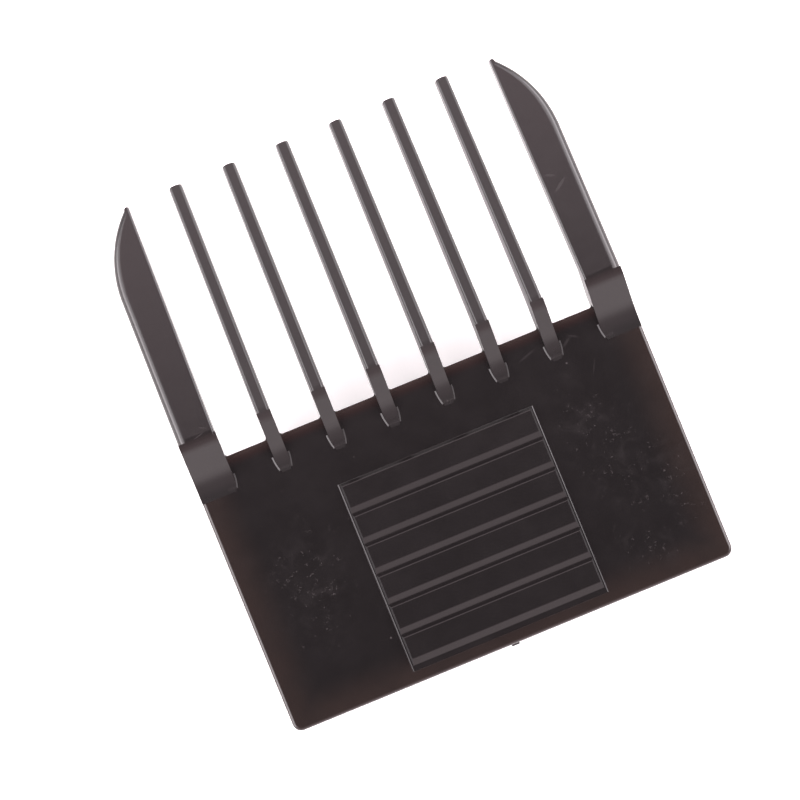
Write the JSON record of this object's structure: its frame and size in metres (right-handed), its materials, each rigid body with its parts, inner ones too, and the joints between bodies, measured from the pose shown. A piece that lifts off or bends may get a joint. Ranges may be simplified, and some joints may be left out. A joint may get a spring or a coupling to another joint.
{
  "type": "clipper guard comb",
  "caption": "Slide-on clipper guard comb: ribbed plate with raised narrow teeth between two wide outer teeth, and sprung side rails that grip the clipper head.",
  "frame": {"origin": "on the resting plane under the middle of the comb's overall length and width", "axes": "+X to the right seen from the skin side, +Y from the ribbed rear end to the tooth tips, +Z out of the skin side"},
  "size_m": [0.046, 0.0536, 0.0102],
  "materials": {
    "comb_plastic": "brown-black slightly translucent moulded plastic, polished with fine handling marks"
  },
  "bodies": {
    "comb_body": {"base_plate": "comb_plastic", "grip_panel": "comb_plastic", "grip_rib_1": "comb_plastic", "grip_rib_2": "comb_plastic", "grip_rib_3": "comb_plastic", "grip_rib_4": "comb_plastic", "grip_rib_5": "comb_plastic", "grip_rib_6": "comb_plastic", "inner_tooth_1": "comb_plastic", "inner_tooth_2": "comb_plastic", "inner_tooth_3": "comb_plastic", "inner_tooth_4": "comb_plastic", "inner_tooth_5": "comb_plastic", "inner_tooth_6": "comb_plastic", "outer_tooth_left": "comb_plastic", "outer_tooth_right": "comb_plastic", "blade_stop_left": "comb_plastic", "blade_stop_right": "comb_plastic", "gate_nub": "comb_plastic"},
    "rail_left": {"side_rail_left": "comb_plastic", "retaining_lip_left": "comb_plastic", "snap_bead_left": "comb_plastic"},
    "rail_right": {"side_rail_right": "comb_plastic", "retaining_lip_right": "comb_plastic", "snap_bead_right": "comb_plastic"}
  },
  "joints": [
    {"name": "rail_left_flex", "type": "hinge", "parent": "comb_body", "child": "rail_left", "pos_m": [-0.0218, -0.0136, 0.0048], "axis": [0, 1, 0], "range_deg": [-1.5, 5], "stiffness_Nm_per_rad": 0.3},
    {"name": "rail_right_flex", "type": "hinge", "parent": "comb_body", "child": "rail_right", "pos_m": [0.0218, -0.0136, 0.0048], "axis": [0, -1, 0], "range_deg": [-1.5, 5], "stiffness_Nm_per_rad": 0.3}
  ]
}
